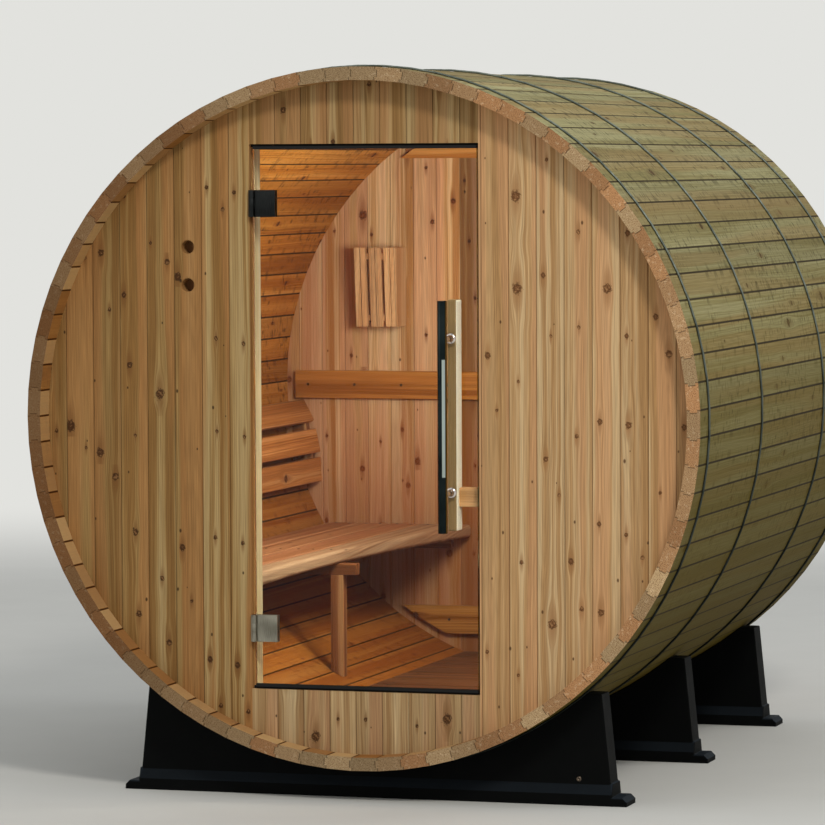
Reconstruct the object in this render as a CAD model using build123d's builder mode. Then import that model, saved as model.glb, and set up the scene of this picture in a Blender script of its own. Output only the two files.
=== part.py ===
from build123d import *
from math import ceil, cos, floor, radians, sin, sqrt
import os

os.makedirs("parts", exist_ok=True)

# A barrel sauna: staves on three cradles, a board wall at each end and a glass door.
# Millimetres. X runs across the barrel, the door faces -Y and +Z is up.
# The origin is the middle of the middle cradle's underside.

# Barrel
outer_diameter = 1829.0
barrel_length = 2134.0
stave_thickness = 35.0
stave_count = 81
stave_turn = 0.75
tongue_reach = 6.5
tongue_tip = 17.0
stave_gap = 0.3
ground_clearance = 85.0

# End walls, let into a groove that runs round the inside of the staves
front_recess = 65.0
back_recess = 40.0
wall_thickness = 38.0
groove_depth = 10.0
seat_gap = 0.3
board_groove_width = 4.0
board_groove_depth = 2.5
# For each part of a wall, one joint between boards and the cover width of its boards
left_joint_x = -370.0
left_board_width = 76.4
middle_joint_x = -26.0
middle_board_width = 72.0
right_joint_x = 392.0
right_board_width = 74.0
back_joint_x = -32.0
back_board_width = 73.4

# Air vents in the front wall, left of the door
vent_diameter = 35.0
vent_chamfer = 2.0
vent_x = -485.0
vent_above_centre = 346.5
vent_spacing = 100.0

# Doorway, by the height of the wall left above and below it
door_width = 624.0
wall_over_door = 173.7
wall_under_door = 174.7
frame_width = 38.0
frame_depth = 52.0

# Glass door
door_clearance = 5.5
hinge_side_clearance = 10.0
glass_thickness = 8.0
glass_set_back = 3.0
edge_seal_height = 8.0
edge_seal_depth = 16.0
edge_seal_lap = 5.0

# Hinges
hinge_height = 70.0
hinge_plate_width = 62.0
hinge_front_plate = 8.0
hinge_back_plate = 5.0
hinge_leaf = 4.0
hinge_leaf_depth = 36.0
knuckle_diameter = 14.0
pin_diameter = 6.0
pin_gap = 0.4
knuckle_gap = 0.5
pivot_from_opening = 9.0
pivot_from_wall = 8.0
hinge_side_gap = 1.0
hinge_arm_lap = 2.0
upper_hinge_drop = 155.0
lower_hinge_rise = 160.0

# Handles
handle_from_opening = 76.0
handle_rise = 725.0
handle_length = 600.0
handle_diameter = 25.0
handle_reach = 80.0
standoff_spacing = 400.0
standoff_diameter = 16.0
rosette_diameter = 28.0
rosette_thickness = 5.0
inner_bar_width = 25.0
inner_bar_depth = 50.0
inner_arm_height = 50.0
inner_arm_depth = 30.0
inner_arm_gap = 12.0
inner_arm_rise = 512.0

# Cable hoops: the first two measured from the front ends of the staves, the others from the back ends
cable_diameter = 6.0
cable_seat = 0.3
cable_round = 1.8
cables_from_front = {"cable_front": 86.0, "cable_second": 697.0}
cables_from_back = {"cable_third": 644.0, "cable_back": 134.0}

# Cradles: the end ones by the distance of their middle from the stave ends
cradle_from_front = 163.0
cradle_from_back = 199.0
cradle_thickness = 76.0
cradle_base_thickness = 96.0
cradle_seat = 0.3
cradle_tip_height = 290.0
cradle_tip_width = 45.0
cradle_taper = 29.0
ledge_low = 30.0
ledge_high = 58.0
foot_length = 39.0
foot_height = 24.0
foot_step = 12.0

# Floor boards
floor_depth = 60.0
floor_board_width = 140.0
floor_board_thickness = 25.0
floor_board_gap = 8.0

# Bench
seat_above_floor = 388.0
seat_frame_gap = 2.0
seat_board_width = 89.0
seat_board_thickness = 38.0
seat_board_gap = 9.0
seat_front_round = 12.0
seat_front_hollow = 33.0
seat_far_reach = 64.0
seat_end_gap = 2.0
bearer_height = 32.0
bearer_width = 38.0
bearer_lip = 12.0
leg_set_back = 45.0
leg_width = 36.0
leg_depth = 38.0

# Backrest, from the top slat down: how high the middle of each slat's front face is above the seat,
# how far it is from the round wall and how many degrees it leans
backrest_slats = [(345.0, 72.0, 28.0), (252.0, 87.0, 12.0), (163.0, 73.0, 3.0)]
backrest_slat_width = 74.0
backrest_slat_thickness = 19.0
backrest_bracket_width = 38.0

# Battens on the inside of the back wall: one just below the centre and one near the top and the bottom
batten_height = 84.0
batten_thickness = 20.0
batten_end_gap = 32.0
batten_from_rim = 125.5
middle_batten_drop = 9.0

# Lamp shade on the back wall
lamp_from_round_wall = 148.0
lamp_above_centre = 290.5
lamp_width = 132.0
lamp_height = 240.0
lamp_top_depth = 110.0
lamp_bottom_depth = 85.0
lamp_slat_width = 18.0
lamp_slat_thickness = 9.0
lamp_pair_gap = 2.0
lamp_rail = 18.0
lamp_side_thickness = 10.0

# Places that follow from the sizes above
outer_radius = outer_diameter / 2
inner_radius = outer_radius - stave_thickness
centre_height = ground_clearance + outer_radius
front_y = -barrel_length / 2
back_y = barrel_length / 2
front_wall_y = front_y + front_recess
front_wall_inside = front_wall_y + wall_thickness
back_wall_inside = back_y - back_recess - wall_thickness
room_length = back_wall_inside - front_wall_inside
stave_angle = 360.0 / stave_count
half_angle = radians(stave_angle / 2)
# A polygon with this turn has one flat for each stave
flat_rotation = 90 - stave_turn * stave_angle
groove_bottom = inner_radius + groove_depth
wall_radius = groove_bottom - seat_gap
wall_bottom = centre_height - wall_radius
wall_top = centre_height + wall_radius
room_radius = inner_radius * cos(half_angle) - seat_gap
door_half_width = door_width / 2
door_sill_height = wall_bottom + wall_under_door
door_top_height = wall_top - wall_over_door
frame_back = front_wall_inside + frame_depth
frame_bottom = door_sill_height - frame_width
frame_top = door_top_height + frame_width
frame_outside = door_half_width + frame_width
glass_front = front_wall_y + glass_set_back
glass_back = glass_front + glass_thickness
glass_left = -door_half_width + hinge_side_clearance
glass_right = door_half_width - door_clearance
pivot_x = -door_half_width + pivot_from_opening
pivot_y = front_wall_y - pivot_from_wall
handle_x = door_half_width - handle_from_opening
handle_middle_height = door_sill_height + handle_rise
floor_top_height = centre_height - inner_radius + floor_depth
seat_top_height = floor_top_height + seat_above_floor


def finish(piece, label):
    piece.part.label = label
    export_step(piece.part, f"parts/{label}.step")


def upright_plane(y):
    # A sketch plane across the barrel at y. Extruding by a minus amount runs towards +Y.
    return Plane.XZ.offset(-y)


def half_width_at(radius, height):
    # Half the width of a circle round the barrel's axis, at a height
    return sqrt(radius**2 - (height - centre_height) ** 2)


# One stave, made at the top of a barrel lying on the Y axis.
# It has a tongue along its clockwise edge and a matching groove along the other, so that neighbours nest.
def edge_point(radius, side, along):
    # A point on the joint at side -1 or +1, moved clockwise by a length.
    x = radius * sin(side * half_angle) + along * cos(half_angle)
    z = radius * cos(half_angle) - along * side * sin(half_angle)
    return (x, z)


middle_radius = (outer_radius + inner_radius) / 2
tongue_outer = middle_radius + tongue_tip / 2
tongue_inner = middle_radius - tongue_tip / 2
with BuildPart() as stave:
    with BuildSketch(upright_plane(front_y)):
        with BuildLine():
            Polyline(
                edge_point(outer_radius, 1, -stave_gap / 2),
                edge_point(tongue_outer, 1, tongue_reach - stave_gap / 2),
                edge_point(tongue_inner, 1, tongue_reach - stave_gap / 2),
                edge_point(inner_radius, 1, -stave_gap / 2),
                edge_point(inner_radius, -1, stave_gap / 2),
                edge_point(tongue_inner, -1, tongue_reach + stave_gap / 2),
                edge_point(tongue_outer, -1, tongue_reach + stave_gap / 2),
                edge_point(outer_radius, -1, stave_gap / 2),
                close=True,
            )
        make_face()
    extrude(amount=-barrel_length)
    # The groove across the stave for each end wall
    for groove_y in (front_wall_y - seat_gap, back_wall_inside - seat_gap):
        with BuildSketch(upright_plane(groove_y)):
            with Locations((0, groove_bottom / 2)):
                Rectangle(outer_diameter, groove_bottom)
        extrude(amount=-(wall_thickness + 2 * seat_gap), mode=Mode.SUBTRACT)

# The staves stand round the barrel in nine runs, named by where each run lies
stave_runs = [
    "staves_top",
    "staves_upper_right",
    "staves_right",
    "staves_lower_right",
    "staves_bottom_right",
    "staves_bottom_left",
    "staves_lower_left",
    "staves_left",
    "staves_upper_left",
]
run_length = stave_count / len(stave_runs)
for run, run_name in enumerate(stave_runs):
    first = ceil((run - 0.5) * run_length)
    after_last = ceil((run + 0.5) * run_length)
    with BuildPart() as stave_run:
        for number in range(first, after_last):
            turn = (number + stave_turn - 0.5) * stave_angle
            with Locations(Location((0, 0, centre_height), (0, turn, 0))):
                add(stave.part)
    finish(stave_run, run_name)


# End walls of upright boards, seated in the groove of the staves
def board_grooves(first_x, last_x, joint_x, board_width, wall_front):
    # Shallow V grooves between boards on both faces of a wall, from bottom to top.
    first_joint = ceil((first_x + board_groove_width - joint_x) / board_width)
    last_joint = floor((last_x - board_groove_width - joint_x) / board_width)
    with BuildSketch(Plane.XY) as grooves:
        for joint in range(first_joint, last_joint + 1):
            x = joint_x + joint * board_width
            for face_y, inward in ((wall_front, 1), (wall_front + wall_thickness, -1)):
                with BuildLine():
                    Polyline(
                        (x - board_groove_width / 2, face_y - inward),
                        (x - board_groove_width / 2, face_y),
                        (x, face_y + inward * board_groove_depth),
                        (x + board_groove_width / 2, face_y),
                        (x + board_groove_width / 2, face_y - inward),
                        close=True,
                    )
                make_face()
    extrude(grooves.sketch, amount=centre_height + outer_radius, mode=Mode.SUBTRACT)


def wall_disc(wall_front):
    # A wall with one flat on its rim for each stave
    with BuildSketch(upright_plane(wall_front)) as disc:
        with Locations((0, centre_height)):
            RegularPolygon(wall_radius, stave_count, major_radius=False, rotation=flat_rotation)
    extrude(disc.sketch, amount=-wall_thickness)


def keep_box(x_from, x_to, z_from, z_to, wall_front):
    with Locations(((x_from + x_to) / 2, wall_front + wall_thickness / 2, (z_from + z_to) / 2)):
        Box(x_to - x_from, wall_thickness, z_to - z_from, mode=Mode.INTERSECT)


with BuildPart() as front_wall_left:
    wall_disc(front_wall_y)
    keep_box(-wall_radius, -door_half_width, wall_bottom, wall_top, front_wall_y)
    board_grooves(-wall_radius, -door_half_width, left_joint_x, left_board_width, front_wall_y)
    for vent in (0, 1):
        vent_height = centre_height + vent_above_centre + vent * vent_spacing
        with BuildSketch(upright_plane(front_wall_y)):
            with Locations((vent_x, vent_height)):
                Circle(vent_diameter / 2)
        extrude(amount=-wall_thickness, mode=Mode.SUBTRACT)
    round_edges = front_wall_left.edges().filter_by(GeomType.CIRCLE)
    vent_rims = round_edges.filter_by(lambda edge: edge.radius < vent_diameter)
    chamfer(vent_rims.group_by(Axis.Y)[0], length=vent_chamfer)
finish(front_wall_left, "front_wall_left")

with BuildPart() as front_wall_right:
    wall_disc(front_wall_y)
    keep_box(door_half_width, wall_radius, wall_bottom, wall_top, front_wall_y)
    board_grooves(door_half_width, wall_radius, right_joint_x, right_board_width, front_wall_y)
finish(front_wall_right, "front_wall_right")

with BuildPart() as front_wall_over_door:
    wall_disc(front_wall_y)
    keep_box(-door_half_width, door_half_width, door_top_height, wall_top, front_wall_y)
    board_grooves(-door_half_width, door_half_width, middle_joint_x, middle_board_width, front_wall_y)
finish(front_wall_over_door, "front_wall_over_door")

with BuildPart() as front_wall_under_door:
    wall_disc(front_wall_y)
    keep_box(-door_half_width, door_half_width, wall_bottom, door_sill_height, front_wall_y)
    board_grooves(-door_half_width, door_half_width, middle_joint_x, middle_board_width, front_wall_y)
finish(front_wall_under_door, "front_wall_under_door")

with BuildPart() as back_wall:
    wall_disc(back_wall_inside)
    board_grooves(-wall_radius, wall_radius, back_joint_x, back_board_width, back_wall_inside)
finish(back_wall, "back_wall")


# Frame round the doorway, on the inside of the front wall
def board(label, x_from, x_to, y_from, y_to, z_from, z_to):
    with BuildPart() as piece:
        with Locations(((x_from + x_to) / 2, (y_from + y_to) / 2, (z_from + z_to) / 2)):
            Box(x_to - x_from, y_to - y_from, z_to - z_from)
    finish(piece, label)


def frame_board(label, x_from, x_to, z_from, z_to):
    board(label, x_from, x_to, front_wall_inside, frame_back, z_from, z_to)


frame_board("door_jamb_left", -frame_outside, -door_half_width, frame_bottom, frame_top)
frame_board("door_jamb_right", door_half_width, frame_outside, frame_bottom, frame_top)
frame_board("door_head", -door_half_width, door_half_width, door_top_height, frame_top)
frame_board("door_sill", -door_half_width, door_half_width, frame_bottom, door_sill_height)

# Cable hoops drawn tight round the staves, with a bend at each joint between staves
cable_inside = outer_radius * cos(half_angle) + cable_seat
cable_middles = {name: front_y + distance for name, distance in cables_from_front.items()}
cable_middles.update({name: back_y - distance for name, distance in cables_from_back.items()})
for cable_name, cable_y in cable_middles.items():
    with BuildPart() as cable:
        with BuildSketch(upright_plane(cable_y - cable_diameter / 2)):
            with Locations((0, centre_height)):
                RegularPolygon(
                    cable_inside + cable_diameter, stave_count, major_radius=False, rotation=flat_rotation
                )
        extrude(amount=-cable_diameter)
        rims = cable.faces().filter_by(Axis.Y).edges()
        chamfer(rims, length=cable_round)
        with BuildSketch(upright_plane(cable_y - cable_diameter / 2)):
            with Locations((0, centre_height)):
                RegularPolygon(cable_inside, stave_count, major_radius=False, rotation=flat_rotation)
        extrude(amount=-cable_diameter, mode=Mode.SUBTRACT)
    finish(cable, cable_name)

# Cradles: a plate with a round seat for the barrel, on a wider base with a sloping
# ledge along both sides and a flat foot at each end
cradle_half_top = half_width_at(outer_radius, cradle_tip_height) + cradle_tip_width
cradle_half_base = cradle_half_top + cradle_taper
foot_half_width = cradle_half_base + foot_length
cradle_middles = {
    "cradle_front": front_y + cradle_from_front,
    "cradle_middle": 0.0,
    "cradle_back": back_y - cradle_from_back,
}
for cradle_name, cradle_y in cradle_middles.items():
    with BuildPart() as cradle:
        # The plate
        with BuildSketch(upright_plane(cradle_y - cradle_thickness / 2)):
            with BuildLine():
                Polyline(
                    (-cradle_half_base, 0),
                    (-cradle_half_top, cradle_tip_height),
                    (cradle_half_top, cradle_tip_height),
                    (cradle_half_base, 0),
                    close=True,
                )
            make_face()
        extrude(amount=-cradle_thickness)
        # The base
        with BuildSketch(Plane.YZ.offset(-cradle_half_base)):
            with BuildLine():
                Polyline(
                    (cradle_y - cradle_base_thickness / 2, 0),
                    (cradle_y - cradle_base_thickness / 2, ledge_low),
                    (cradle_y - cradle_thickness / 2, ledge_high),
                    (cradle_y + cradle_thickness / 2, ledge_high),
                    (cradle_y + cradle_base_thickness / 2, ledge_low),
                    (cradle_y + cradle_base_thickness / 2, 0),
                    close=True,
                )
            make_face()
        extrude(amount=2 * cradle_half_base)
        # The feet
        with BuildSketch(upright_plane(cradle_y - cradle_base_thickness / 2)):
            with BuildLine():
                Polyline(
                    (-foot_half_width, 0),
                    (-foot_half_width, foot_height - foot_step),
                    (-foot_half_width + foot_step, foot_height),
                    (foot_half_width - foot_step, foot_height),
                    (foot_half_width, foot_height - foot_step),
                    (foot_half_width, 0),
                    close=True,
                )
            make_face()
        extrude(amount=-cradle_base_thickness)
        # The seat
        with BuildSketch(upright_plane(cradle_y - cradle_base_thickness / 2)):
            with Locations((0, centre_height)):
                Circle(outer_radius + cradle_seat)
        extrude(amount=-cradle_base_thickness, mode=Mode.SUBTRACT)
    finish(cradle, cradle_name)


# Floor boards laid across the bottom of the barrel
floor_under = floor_top_height - floor_board_thickness
floor_half_under = half_width_at(room_radius, floor_under)
floor_half_top = half_width_at(room_radius, floor_top_height)
floor_board_count = floor(room_length / (floor_board_width + floor_board_gap))
floor_pitch = room_length / floor_board_count
with BuildPart() as floor_boards:
    for number in range(floor_board_count):
        floor_y = front_wall_inside + (number + 0.5) * floor_pitch - floor_board_width / 2
        with BuildSketch(upright_plane(floor_y)):
            with BuildLine():
                Polyline(
                    (-floor_half_under, floor_under),
                    (floor_half_under, floor_under),
                    (floor_half_top, floor_top_height),
                    (-floor_half_top, floor_top_height),
                    close=True,
                )
            make_face()
        extrude(amount=-floor_board_width)
finish(floor_boards, "floor_boards")

# Bench: boards along the left side on bearers, with a leg at mid length
seat_front_x = -(frame_outside + seat_frame_gap)
seat_under = seat_top_height - seat_board_thickness
seat_start = front_wall_inside + seat_end_gap
seat_end = back_wall_inside - batten_thickness - seat_end_gap
middle_y = (seat_start + seat_end) / 2
seat_board_pitch = seat_board_width + seat_board_gap
seat_depth = half_width_at(room_radius, seat_under) + seat_front_x
seat_board_count = floor((seat_depth + seat_board_gap) / seat_board_pitch)

# The front board has a straight back and a front edge hollowed by a shallow arc
with BuildPart() as bench_front_board:
    board_back_x = seat_front_x - seat_board_width
    with BuildSketch(Plane.XY.offset(seat_under)):
        with BuildLine():
            front_arc = ThreePointArc(
                (seat_front_x, seat_start),
                (seat_front_x - seat_front_hollow, middle_y),
                (seat_front_x + seat_far_reach, seat_end),
            )
            Polyline(front_arc @ 1, (board_back_x, seat_end), (board_back_x, seat_start), front_arc @ 0)
        make_face()
    extrude(amount=seat_board_thickness)
    front_edges = bench_front_board.edges().filter_by(GeomType.CIRCLE)
    fillet(front_edges, radius=min(seat_front_round, seat_board_thickness * 0.45))
finish(bench_front_board, "bench_front_board")

with BuildPart() as bench_boards:
    for number in range(1, seat_board_count):
        board_x = seat_front_x - number * seat_board_pitch - seat_board_width / 2
        with BuildSketch(upright_plane(seat_start)):
            with Locations((board_x, seat_under + seat_board_thickness / 2)):
                Rectangle(seat_board_width, seat_board_thickness)
        extrude(amount=-(seat_end - seat_start))
finish(bench_boards, "bench_boards")

bearer_under = seat_under - bearer_height
bearer_middles = [
    front_wall_inside + bearer_width / 2,
    middle_y,
    seat_end - bearer_width / 2,
]
# The front bearer ends beside the door frame, the others a little before the bench
bearer_ends = [seat_front_x, seat_front_x + bearer_lip, seat_front_x + bearer_lip]
with BuildPart() as bench_bearers:
    for bearer_y, bearer_end in zip(bearer_middles, bearer_ends):
        with BuildSketch(upright_plane(bearer_y - bearer_width / 2)):
            with Locations((0, centre_height)):
                Circle(room_radius)
            with Locations(((bearer_end - inner_radius) / 2, seat_under - bearer_height / 2)):
                Rectangle(bearer_end + inner_radius, bearer_height, mode=Mode.INTERSECT)
        extrude(amount=-bearer_width)
finish(bench_bearers, "bench_bearers")

with BuildPart() as bench_leg:
    with BuildSketch(upright_plane(middle_y - leg_depth / 2)):
        with Locations((0, centre_height)):
            Circle(room_radius)
        with Locations((seat_front_x - leg_set_back, bearer_under / 2)):
            Rectangle(leg_width, bearer_under, mode=Mode.INTERSECT)
    extrude(amount=-leg_depth)
finish(bench_leg, "bench_leg")

# Backrest: three leaning slats on brackets that fill the space to the round wall
def slat_middle(slat):
    # The middle of a slat's front face
    above_seat, from_wall, lean = slat
    z = seat_top_height + above_seat
    return (from_wall - half_width_at(room_radius, z), z)


with BuildPart() as backrest_boards:
    for slat in backrest_slats:
        slat_x, slat_z = slat_middle(slat)
        lean = slat[-1]
        with BuildSketch(upright_plane(seat_start)):
            with Locations(Location((slat_x, slat_z, 0), (0, 0, lean))):
                with Locations((-backrest_slat_thickness / 2, 0)):
                    Rectangle(backrest_slat_thickness, backrest_slat_width)
        extrude(amount=-(seat_end - seat_start))
finish(backrest_boards, "backrest_slats")


def slat_back_point(slat, along):
    # A point on a slat's back, a length up the slat from its middle.
    slat_x, slat_z = slat_middle(slat)
    lean = slat[-1]
    back = -backrest_slat_thickness - seat_gap
    x = slat_x + back * cos(radians(lean)) - along * sin(radians(lean))
    z = slat_z + back * sin(radians(lean)) + along * cos(radians(lean))
    return (x, z)


with BuildPart() as backrest_brackets:
    half_slat = backrest_slat_width / 2
    bracket_front = []
    for slat in backrest_slats:
        bracket_front.append(slat_back_point(slat, half_slat))
        bracket_front.append(slat_back_point(slat, -half_slat))
    for bracket_y in bearer_middles:
        with BuildSketch(upright_plane(bracket_y - backrest_bracket_width / 2)):
            with BuildLine():
                Polyline(
                    *bracket_front,
                    (-outer_radius, bracket_front[-1][1]),
                    (-outer_radius, bracket_front[0][1]),
                    close=True,
                )
            make_face()
            with Locations((0, centre_height)):
                Circle(room_radius, mode=Mode.INTERSECT)
        extrude(amount=-backrest_bracket_width)
finish(backrest_brackets, "backrest_brackets")

# Battens across the inside of the back wall, their ends cut round
batten_radius = inner_radius - batten_end_gap
outer_batten_rise = batten_radius - batten_from_rim
with BuildPart() as back_wall_battens:
    for batten_rise in (-outer_batten_rise, -middle_batten_drop, outer_batten_rise):
        with BuildSketch(upright_plane(back_wall_inside - batten_thickness)):
            with Locations((0, centre_height + batten_rise)):
                Rectangle(outer_diameter, batten_height)
            with Locations((0, centre_height)):
                Circle(batten_radius, mode=Mode.INTERSECT)
        extrude(amount=-batten_thickness)
finish(back_wall_battens, "back_wall_battens")

# Lamp shade: pairs of upright slats leaning out at the top, two cross battens
# behind them and a side board at each end, open above and below
lamp_middle_height = centre_height + lamp_above_centre
lamp_top = lamp_middle_height + lamp_height / 2
lamp_bottom = lamp_middle_height - lamp_height / 2
lamp_wall_y = back_wall_inside - seat_gap


def lamp_front(height):
    # The y of the slats' front face at a height
    share = (height - lamp_bottom) / lamp_height
    return lamp_wall_y - lamp_bottom_depth - share * (lamp_top_depth - lamp_bottom_depth)


with BuildPart() as lamp_shade:
    lamp_pair_width = 2 * lamp_slat_width + lamp_pair_gap
    lamp_pair_pitch = (lamp_width - lamp_pair_width) / 2
    lamp_left = lamp_from_round_wall - half_width_at(room_radius, lamp_top)
    # Each strip: its left side, its width, its two heights and how far it lies behind the slats' front
    lamp_strips = [
        (lamp_left, lamp_width, lamp_bottom + lamp_rail, lamp_bottom + 2 * lamp_rail, lamp_slat_thickness),
        (lamp_left, lamp_width, lamp_top - 2 * lamp_rail, lamp_top - lamp_rail, lamp_slat_thickness),
    ]
    for pair in range(3):
        for side in range(2):
            slat_left = lamp_left + pair * lamp_pair_pitch + side * (lamp_slat_width + lamp_pair_gap)
            lamp_strips.append((slat_left, lamp_slat_width, lamp_bottom, lamp_top, 0))
    for strip_left, strip_width, low, high, behind in lamp_strips:
        with BuildSketch(Plane.YZ.offset(strip_left)):
            with BuildLine():
                Polyline(
                    (lamp_front(low) + behind, low),
                    (lamp_front(high) + behind, high),
                    (lamp_front(high) + behind + lamp_slat_thickness, high),
                    (lamp_front(low) + behind + lamp_slat_thickness, low),
                    close=True,
                )
            make_face()
        extrude(amount=strip_width)
    for side_left in (lamp_left, lamp_left + lamp_width - lamp_side_thickness):
        with BuildSketch(Plane.YZ.offset(side_left)):
            with BuildLine():
                Polyline(
                    (lamp_front(lamp_bottom) + lamp_slat_thickness, lamp_bottom),
                    (lamp_front(lamp_top) + lamp_slat_thickness, lamp_top),
                    (lamp_wall_y, lamp_top),
                    (lamp_wall_y, lamp_bottom),
                    close=True,
                )
            make_face()
        extrude(amount=lamp_side_thickness)
finish(lamp_shade, "lamp_shade")

# Door: a plain glass pane with an edge strip along its top and bottom
glass_bottom = door_sill_height + door_clearance + edge_seal_height - edge_seal_lap
glass_top = door_top_height - door_clearance - edge_seal_height + edge_seal_lap
glass_middle_y = (glass_front + glass_back) / 2
board("door_glass", glass_left, glass_right, glass_front, glass_back, glass_bottom, glass_top)


def edge_seal(label, low, slot_low, slot_high):
    with BuildPart() as seal:
        with Locations(((glass_left + glass_right) / 2, glass_middle_y, low + edge_seal_height / 2)):
            Box(glass_right - glass_left, edge_seal_depth, edge_seal_height)
        with Locations(((glass_left + glass_right) / 2, glass_middle_y, (slot_low + slot_high) / 2)):
            Box(
                glass_right - glass_left,
                glass_thickness + 2 * seat_gap,
                slot_high - slot_low,
                mode=Mode.SUBTRACT,
            )
    finish(seal, label)


seal_bottom_low = door_sill_height + door_clearance
seal_top_low = door_top_height - door_clearance - edge_seal_height
edge_seal(
    "door_bottom_seal",
    seal_bottom_low,
    glass_bottom - seat_gap,
    seal_bottom_low + edge_seal_height,
)
edge_seal("door_top_seal", seal_top_low, seal_top_low, glass_top + seat_gap)

# Hinges: a leaf on the side of the doorway with two knuckles and the pin,
# and a plate clamped on the glass with the knuckle between them
knuckle_height = (hinge_height - 2 * knuckle_gap) / 3


def upright_cylinder(diameter, low, high, mode=Mode.ADD):
    with Locations((pivot_x, pivot_y, (low + high) / 2)):
        Cylinder(diameter / 2, high - low, mode=mode)


upper_hinge_height = door_top_height - upper_hinge_drop
lower_hinge_height = door_sill_height + lower_hinge_rise
for hinge_name, hinge_middle in (("upper", upper_hinge_height), ("lower", lower_hinge_height)):
    hinge_low = hinge_middle - hinge_height / 2
    hinge_high = hinge_middle + hinge_height / 2
    middle_low = hinge_low + knuckle_height + knuckle_gap
    middle_high = hinge_high - knuckle_height - knuckle_gap
    leaf_back = front_wall_y + hinge_leaf_depth
    with BuildPart() as hinge_on_wall:
        with Locations((-door_half_width + hinge_leaf / 2, (pivot_y + leaf_back) / 2, hinge_middle)):
            Box(hinge_leaf, leaf_back - pivot_y, hinge_height)
        upright_cylinder(knuckle_diameter, hinge_low, hinge_high)
        # Room for the middle knuckle
        with Locations((pivot_x, pivot_y, hinge_middle)):
            Cylinder(
                knuckle_diameter / 2 + knuckle_gap,
                knuckle_height + 2 * knuckle_gap,
                mode=Mode.SUBTRACT,
            )
        upright_cylinder(pin_diameter, hinge_low, hinge_high)
    finish(hinge_on_wall, f"{hinge_name}_hinge_leaf")

    with BuildPart() as hinge_on_glass:
        plate_right = glass_left + hinge_plate_width
        plate_front = glass_front - hinge_front_plate
        # Front plate, set back beside the knuckles of the leaf
        with Locations(((glass_left + plate_right) / 2, glass_front - hinge_front_plate / 2, hinge_middle)):
            Box(hinge_plate_width, hinge_front_plate, hinge_height)
        for cut_low, cut_high in ((hinge_low, middle_low), (middle_high, hinge_high)):
            upright_cylinder(knuckle_diameter + 2 * hinge_side_gap, cut_low, cut_high, mode=Mode.SUBTRACT)
        upright_cylinder(knuckle_diameter, middle_low, middle_high)
        arm_right = glass_left + hinge_arm_lap
        with Locations(((pivot_x + arm_right) / 2, (pivot_y + glass_front) / 2, hinge_middle)):
            Box(arm_right - pivot_x, glass_front - pivot_y, middle_high - middle_low)
        upright_cylinder(pin_diameter + 2 * pin_gap, middle_low, middle_high, mode=Mode.SUBTRACT)
        # Back plate on the inside of the glass
        with Locations(((glass_left + plate_right) / 2, glass_back + hinge_back_plate / 2, hinge_middle)):
            Box(hinge_plate_width, hinge_back_plate, hinge_height)
    finish(hinge_on_glass, f"{hinge_name}_hinge_plate")

# Outer handle: a steel bar on two standoffs
bar_y = glass_front - handle_reach
with BuildPart() as outer_handle:
    with Locations((handle_x, bar_y, handle_middle_height)):
        Cylinder(handle_diameter / 2, handle_length)
    for side in (-1, 1):
        standoff_height = handle_middle_height + side * standoff_spacing / 2
        with BuildSketch(upright_plane(bar_y)):
            with Locations((handle_x, standoff_height)):
                Circle(standoff_diameter / 2)
        extrude(amount=-(glass_front - bar_y))
        with BuildSketch(upright_plane(glass_front - rosette_thickness)):
            with Locations((handle_x, standoff_height)):
                Circle(rosette_diameter / 2)
        extrude(amount=-rosette_thickness)
finish(outer_handle, "outer_handle")

# Inner handle: a wooden bar on the glass, with an arm to the closing edge
inner_bar_back = glass_back + inner_bar_depth
inner_arm_middle_height = door_sill_height + inner_arm_rise
board(
    "inner_handle",
    handle_x - inner_bar_width / 2,
    handle_x + inner_bar_width / 2,
    glass_back,
    inner_bar_back,
    handle_middle_height - handle_length / 2,
    handle_middle_height + handle_length / 2,
)
board(
    "inner_handle_arm",
    handle_x + inner_bar_width / 2,
    door_half_width - inner_arm_gap,
    inner_bar_back - inner_arm_depth,
    inner_bar_back,
    inner_arm_middle_height - inner_arm_height / 2,
    inner_arm_middle_height + inner_arm_height / 2,
)
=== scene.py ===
# Barrel sauna: finishes, cables, screws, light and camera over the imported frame, in metres
import bmesh
import bpy
import numpy as np
from math import pi, radians, tau
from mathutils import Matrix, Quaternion, Vector


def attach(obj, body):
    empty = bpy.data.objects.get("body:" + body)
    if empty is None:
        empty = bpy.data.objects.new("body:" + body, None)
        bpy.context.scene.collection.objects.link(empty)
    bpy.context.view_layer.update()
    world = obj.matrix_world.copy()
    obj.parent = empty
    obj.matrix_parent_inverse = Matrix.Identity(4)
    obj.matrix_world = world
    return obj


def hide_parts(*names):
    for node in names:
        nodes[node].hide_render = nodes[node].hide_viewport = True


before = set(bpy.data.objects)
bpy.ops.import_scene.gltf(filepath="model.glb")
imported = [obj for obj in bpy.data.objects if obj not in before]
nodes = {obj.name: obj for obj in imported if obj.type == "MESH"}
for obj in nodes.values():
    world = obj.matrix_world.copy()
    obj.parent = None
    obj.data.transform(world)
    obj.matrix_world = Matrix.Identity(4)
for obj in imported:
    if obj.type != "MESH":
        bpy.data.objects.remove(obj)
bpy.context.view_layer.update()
scene = bpy.context.scene
scene.view_settings.view_transform = "Standard"
print("frame loaded:", len(nodes), "nodes")

barrel = {
    "axisHeight": 0.9995,
    "staves": 81,
    "seam": 0.25,            # share of a stave between the top line and the first joint to its left
    "tongueRadius": 0.897,
    "tongueHalf": 0.0095,
    "tongueReach": 0.0065,
    "outerFlat": 0.9138,     # from the axis to the middle of a stave's outside
    "lipFrom": 1.003,        # past this distance from the middle, staves stand out beyond the end walls
}
staveStep = tau / barrel["staves"]

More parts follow.
